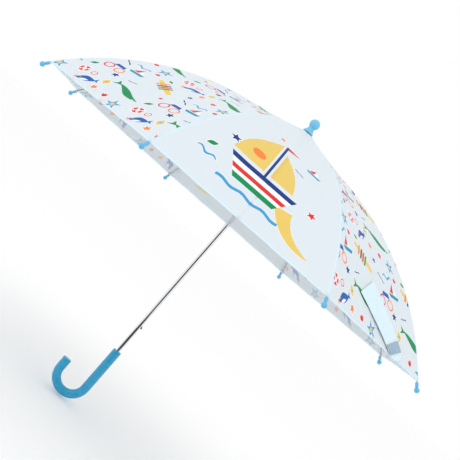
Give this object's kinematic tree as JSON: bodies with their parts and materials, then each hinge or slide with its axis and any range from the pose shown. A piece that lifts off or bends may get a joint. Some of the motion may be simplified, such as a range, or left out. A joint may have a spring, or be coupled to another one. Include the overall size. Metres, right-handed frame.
{
  "type": "children's umbrella",
  "caption": "Children's stick umbrella with a printed cloth canopy on hinged ribs, a sliding runner, spring catches and a crook handle.",
  "frame": {"origin": "on the shaft's axis, level with the lowest point of the crook handle", "axes": "+Z along the shaft from the handle to the ferrule; -X is the way the crook opens; a gore's middle faces -Y"},
  "size_m": [0.6542, 0.6542, 0.5408],
  "materials": {
    "shaft_chrome": "polished chrome-plated tube",
    "wire_steel": "bright spring wire",
    "rib_steel": "bright plated steel",
    "handle_plastic": "moulded blue plastic, semi-gloss",
    "ferrule_plastic": "moulded light blue plastic, semi-gloss",
    "tip_plastic": "moulded sky blue plastic",
    "collar_plastic": "moulded white plastic",
    "canopy_cloth": "printed polyester, plain weave",
    "strap_tape": "woven tape of the canopy's cloth",
    "patch_tape": "hook and loop tape"
  },
  "bodies": {
    "shaft": {"shaft_tube": "shaft_chrome", "handle_crook": "handle_plastic", "top_ferrule": "ferrule_plastic", "notch": "collar_plastic", "notch_wire": "wire_steel", "notch_pin": "wire_steel"},
    "top_catch": {"top_catch": "wire_steel"},
    "bottom_catch": {"bottom_catch": "wire_steel"},
    "rib_1": {"rib_1": "rib_steel", "rib_tip_1": "tip_plastic"},
    "rib_2": {"rib_2": "rib_steel", "rib_tip_2": "tip_plastic"},
    "rib_3": {"rib_3": "rib_steel", "rib_tip_3": "tip_plastic"},
    "rib_4": {"rib_4": "rib_steel", "rib_tip_4": "tip_plastic"},
    "rib_5": {"rib_5": "rib_steel", "rib_tip_5": "tip_plastic"},
    "rib_6": {"rib_6": "rib_steel", "rib_tip_6": "tip_plastic"},
    "rib_7": {"rib_7": "rib_steel", "rib_tip_7": "tip_plastic"},
    "rib_8": {"rib_8": "rib_steel", "rib_tip_8": "tip_plastic"},
    "stretcher_1": {"stretcher_1": "rib_steel"},
    "stretcher_2": {"stretcher_2": "rib_steel"},
    "stretcher_3": {"stretcher_3": "rib_steel"},
    "stretcher_4": {"stretcher_4": "rib_steel"},
    "stretcher_5": {"stretcher_5": "rib_steel"},
    "stretcher_6": {"stretcher_6": "rib_steel"},
    "stretcher_7": {"stretcher_7": "rib_steel"},
    "stretcher_8": {"stretcher_8": "rib_steel"},
    "runner": {"runner": "collar_plastic", "runner_wire": "wire_steel"},
    "canopy_1_left": {"canopy_1_left": "canopy_cloth"},
    "canopy_1_right": {"canopy_1_right": "canopy_cloth"},
    "canopy_2_left": {"canopy_2_left": "canopy_cloth"},
    "canopy_2_right": {"canopy_2_right": "canopy_cloth"},
    "canopy_3_left": {"canopy_3_left": "canopy_cloth"},
    "canopy_3_right": {"canopy_3_right": "canopy_cloth"},
    "canopy_4_left": {"canopy_4_left": "canopy_cloth"},
    "canopy_4_right": {"canopy_4_right": "canopy_cloth"},
    "canopy_5_left": {"canopy_5_left": "canopy_cloth"},
    "canopy_5_right": {"canopy_5_right": "canopy_cloth"},
    "canopy_6_left": {"canopy_6_left": "canopy_cloth"},
    "canopy_6_right": {"canopy_6_right": "canopy_cloth"},
    "canopy_7_left": {"canopy_7_left": "canopy_cloth", "strap_root": "strap_tape"},
    "canopy_7_right": {"canopy_7_right": "canopy_cloth"},
    "canopy_8_left": {"canopy_8_left": "canopy_cloth"},
    "canopy_8_right": {"canopy_8_right": "canopy_cloth", "closing_strap": "strap_tape", "hook_tape": "patch_tape"}
  },
  "joints": [
    {"name": "canopy_fold", "type": "hinge", "parent": "shaft", "child": "rib_1", "pos_m": [0.006, 0.00249, 0.51081], "axis": [-0.3827, 0.9239, 0], "range_deg": [0, 62.47]},
    {"name": "rib_2_fold", "type": "hinge", "parent": "shaft", "child": "rib_2", "pos_m": [0.00249, 0.006, 0.51081], "axis": [-0.9239, 0.3827, 0], "range_deg": [0, 62.47]},
    {"name": "rib_3_fold", "type": "hinge", "parent": "shaft", "child": "rib_3", "pos_m": [-0.00249, 0.006, 0.51081], "axis": [-0.9239, -0.3827, 0], "range_deg": [0, 62.47]},
    {"name": "rib_4_fold", "type": "hinge", "parent": "shaft", "child": "rib_4", "pos_m": [-0.006, 0.00249, 0.51081], "axis": [-0.3827, -0.9239, 0], "range_deg": [0, 62.47]},
    {"name": "rib_5_fold", "type": "hinge", "parent": "shaft", "child": "rib_5", "pos_m": [-0.006, -0.00249, 0.51081], "axis": [0.3827, -0.9239, 0], "range_deg": [0, 62.47]},
    {"name": "rib_6_fold", "type": "hinge", "parent": "shaft", "child": "rib_6", "pos_m": [-0.00249, -0.006, 0.51081], "axis": [0.9239, -0.3827, 0], "range_deg": [0, 62.47]},
    {"name": "rib_7_fold", "type": "hinge", "parent": "shaft", "child": "rib_7", "pos_m": [0.00249, -0.006, 0.51081], "axis": [0.9239, 0.3827, 0], "range_deg": [0, 62.47]},
    {"name": "rib_8_fold", "type": "hinge", "parent": "shaft", "child": "rib_8", "pos_m": [0.006, -0.00249, 0.51081], "axis": [0.3827, 0.9239, 0], "range_deg": [0, 62.47]},
    {"name": "stretcher_1_fold", "type": "hinge", "parent": "rib_1", "child": "stretcher_1", "pos_m": [0.15283, 0.0633, 0.46855], "axis": [0.3827, -0.9239, 0], "range_deg": [0, 124.94]},
    {"name": "stretcher_2_fold", "type": "hinge", "parent": "rib_2", "child": "stretcher_2", "pos_m": [0.0633, 0.15283, 0.46855], "axis": [0.9239, -0.3827, 0], "range_deg": [0, 124.94]},
    {"name": "stretcher_3_fold", "type": "hinge", "parent": "rib_3", "child": "stretcher_3", "pos_m": [-0.0633, 0.15283, 0.46855], "axis": [0.9239, 0.3827, 0], "range_deg": [0, 124.94]},
    {"name": "stretcher_4_fold", "type": "hinge", "parent": "rib_4", "child": "stretcher_4", "pos_m": [-0.15283, 0.0633, 0.46855], "axis": [0.3827, 0.9239, 0], "range_deg": [0, 124.94]},
    {"name": "stretcher_5_fold", "type": "hinge", "parent": "rib_5", "child": "stretcher_5", "pos_m": [-0.15283, -0.0633, 0.46855], "axis": [-0.3827, 0.9239, 0], "range_deg": [0, 124.94]},
    {"name": "stretcher_6_fold", "type": "hinge", "parent": "rib_6", "child": "stretcher_6", "pos_m": [-0.0633, -0.15283, 0.46855], "axis": [-0.9239, 0.3827, 0], "range_deg": [0, 124.94]},
    {"name": "stretcher_7_fold", "type": "hinge", "parent": "rib_7", "child": "stretcher_7", "pos_m": [0.0633, -0.15283, 0.46855], "axis": [-0.9239, -0.3827, 0], "range_deg": [0, 124.94]},
    {"name": "stretcher_8_fold", "type": "hinge", "parent": "rib_8", "child": "stretcher_8", "pos_m": [0.15283, -0.0633, 0.46855], "axis": [-0.3827, -0.9239, 0], "range_deg": [0, 124.94]},
    {"name": "runner_hinge", "type": "hinge", "parent": "stretcher_1", "child": "runner", "pos_m": [0.006, 0.00249, 0.4263], "axis": [-0.3827, 0.9239, 0], "range_deg": [0, 62.47]},
    {"name": "canopy_1_left_fold", "type": "hinge", "parent": "rib_1", "child": "canopy_1_left", "pos_m": [0.00551, 0.00368, 0.51081], "axis": [-0.151, -0.941, -0.303], "range_deg": [0, 27.68], "deforming": ["canopy_1_left"]},
    {"name": "canopy_1_right_fold", "type": "hinge", "parent": "rib_1", "child": "canopy_1_right", "pos_m": [0.0065, 0.00129, 0.51081], "axis": [0.7721, -0.5586, 0.303], "range_deg": [0, 27.68], "deforming": ["canopy_1_right"]},
    {"name": "canopy_2_left_fold", "type": "hinge", "parent": "rib_2", "child": "canopy_2_left", "pos_m": [0.00129, 0.0065, 0.51081], "axis": [0.5586, -0.7721, -0.303], "range_deg": [0, 27.68], "deforming": ["canopy_2_left"]},
    {"name": "canopy_2_right_fold", "type": "hinge", "parent": "rib_2", "child": "canopy_2_right", "pos_m": [0.00368, 0.00551, 0.51081], "axis": [0.941, 0.151, 0.303], "range_deg": [0, 27.68], "deforming": ["canopy_2_right"]},
    {"name": "canopy_3_left_fold", "type": "hinge", "parent": "rib_3", "child": "canopy_3_left", "pos_m": [-0.00368, 0.00551, 0.51081], "axis": [0.941, -0.151, -0.303], "range_deg": [0, 27.68], "deforming": ["canopy_3_left"]},
    {"name": "canopy_3_right_fold", "type": "hinge", "parent": "rib_3", "child": "canopy_3_right", "pos_m": [-0.00129, 0.0065, 0.51081], "axis": [0.5586, 0.7721, 0.303], "range_deg": [0, 27.68], "deforming": ["canopy_3_right"]},
    {"name": "canopy_4_left_fold", "type": "hinge", "parent": "rib_4", "child": "canopy_4_left", "pos_m": [-0.0065, 0.00129, 0.51081], "axis": [0.7721, 0.5586, -0.303], "range_deg": [0, 27.68], "deforming": ["canopy_4_left"]},
    {"name": "canopy_4_right_fold", "type": "hinge", "parent": "rib_4", "child": "canopy_4_right", "pos_m": [-0.00551, 0.00368, 0.51081], "axis": [-0.151, 0.941, 0.303], "range_deg": [0, 27.68], "deforming": ["canopy_4_right"]},
    {"name": "canopy_5_left_fold", "type": "hinge", "parent": "rib_5", "child": "canopy_5_left", "pos_m": [-0.00551, -0.00368, 0.51081], "axis": [0.151, 0.941, -0.303], "range_deg": [0, 27.68], "deforming": ["canopy_5_left"]},
    {"name": "canopy_5_right_fold", "type": "hinge", "parent": "rib_5", "child": "canopy_5_right", "pos_m": [-0.0065, -0.00129, 0.51081], "axis": [-0.7721, 0.5586, 0.303], "range_deg": [0, 27.68], "deforming": ["canopy_5_right"]},
    {"name": "canopy_6_left_fold", "type": "hinge", "parent": "rib_6", "child": "canopy_6_left", "pos_m": [-0.00129, -0.0065, 0.51081], "axis": [-0.5586, 0.7721, -0.303], "range_deg": [0, 27.68], "deforming": ["canopy_6_left"]},
    {"name": "canopy_6_right_fold", "type": "hinge", "parent": "rib_6", "child": "canopy_6_right", "pos_m": [-0.00368, -0.00551, 0.51081], "axis": [-0.941, -0.151, 0.303], "range_deg": [0, 27.68], "deforming": ["canopy_6_right"]},
    {"name": "canopy_7_left_fold", "type": "hinge", "parent": "rib_7", "child": "canopy_7_left", "pos_m": [0.00368, -0.00551, 0.51081], "axis": [-0.941, 0.151, -0.303], "range_deg": [0, 27.68], "deforming": ["canopy_7_left", "strap_root"]},
    {"name": "canopy_7_right_fold", "type": "hinge", "parent": "rib_7", "child": "canopy_7_right", "pos_m": [0.00129, -0.0065, 0.51081], "axis": [-0.5586, -0.7721, 0.303], "range_deg": [0, 27.68], "deforming": ["canopy_7_right"]},
    {"name": "canopy_8_left_fold", "type": "hinge", "parent": "rib_8", "child": "canopy_8_left", "pos_m": [0.0065, -0.00129, 0.51081], "axis": [-0.7721, -0.5586, -0.303], "range_deg": [0, 27.68], "deforming": ["canopy_8_left"]},
    {"name": "canopy_8_right_fold", "type": "hinge", "parent": "rib_8", "child": "canopy_8_right", "pos_m": [0.00551, -0.00368, 0.51081], "axis": [0.151, -0.941, 0.303], "range_deg": [0, 27.68], "deforming": ["canopy_8_right", "closing_strap", "hook_tape"]},
    {"name": "top_catch_press", "type": "hinge", "parent": "shaft", "child": "top_catch", "pos_m": [0.0017, 0, 0.3591], "axis": [0, -1, 0], "range_deg": [0, 5.3], "stiffness_Nm_per_rad": 0.6, "springref_deg": -2.86},
    {"name": "bottom_catch_press", "type": "hinge", "parent": "shaft", "child": "bottom_catch", "pos_m": [0.0017, 0, 0.1702], "axis": [0, 1, 0], "range_deg": [0, 5.3], "stiffness_Nm_per_rad": 0.6, "springref_deg": -2.86}
  ],
  "couplings": [
    {"joint": "rib_2_fold", "follows": "canopy_fold", "ratio": 1},
    {"joint": "rib_3_fold", "follows": "canopy_fold", "ratio": 1},
    {"joint": "rib_4_fold", "follows": "canopy_fold", "ratio": 1},
    {"joint": "rib_5_fold", "follows": "canopy_fold", "ratio": 1},
    {"joint": "rib_6_fold", "follows": "canopy_fold", "ratio": 1},
    {"joint": "rib_7_fold", "follows": "canopy_fold", "ratio": 1},
    {"joint": "rib_8_fold", "follows": "canopy_fold", "ratio": 1},
    {"joint": "stretcher_1_fold", "follows": "canopy_fold", "ratio": 2},
    {"joint": "stretcher_2_fold", "follows": "canopy_fold", "ratio": 2},
    {"joint": "stretcher_3_fold", "follows": "canopy_fold", "ratio": 2},
    {"joint": "stretcher_4_fold", "follows": "canopy_fold", "ratio": 2},
    {"joint": "stretcher_5_fold", "follows": "canopy_fold", "ratio": 2},
    {"joint": "stretcher_6_fold", "follows": "canopy_fold", "ratio": 2},
    {"joint": "stretcher_7_fold", "follows": "canopy_fold", "ratio": 2},
    {"joint": "stretcher_8_fold", "follows": "canopy_fold", "ratio": 2},
    {"joint": "runner_hinge", "follows": "canopy_fold", "ratio": 1},
    {"joint": "canopy_1_left_fold", "follows": "canopy_fold", "ratio": 0.44316},
    {"joint": "canopy_1_right_fold", "follows": "canopy_fold", "ratio": 0.44316},
    {"joint": "canopy_2_left_fold", "follows": "canopy_fold", "ratio": 0.44316},
    {"joint": "canopy_2_right_fold", "follows": "canopy_fold", "ratio": 0.44316},
    {"joint": "canopy_3_left_fold", "follows": "canopy_fold", "ratio": 0.44316},
    {"joint": "canopy_3_right_fold", "follows": "canopy_fold", "ratio": 0.44316},
    {"joint": "canopy_4_left_fold", "follows": "canopy_fold", "ratio": 0.44316},
    {"joint": "canopy_4_right_fold", "follows": "canopy_fold", "ratio": 0.44316},
    {"joint": "canopy_5_left_fold", "follows": "canopy_fold", "ratio": 0.44316},
    {"joint": "canopy_5_right_fold", "follows": "canopy_fold", "ratio": 0.44316},
    {"joint": "canopy_6_left_fold", "follows": "canopy_fold", "ratio": 0.44316},
    {"joint": "canopy_6_right_fold", "follows": "canopy_fold", "ratio": 0.44316},
    {"joint": "canopy_7_left_fold", "follows": "canopy_fold", "ratio": 0.44316},
    {"joint": "canopy_7_right_fold", "follows": "canopy_fold", "ratio": 0.44316},
    {"joint": "canopy_8_left_fold", "follows": "canopy_fold", "ratio": 0.44316},
    {"joint": "canopy_8_right_fold", "follows": "canopy_fold", "ratio": 0.44316}
  ]
}
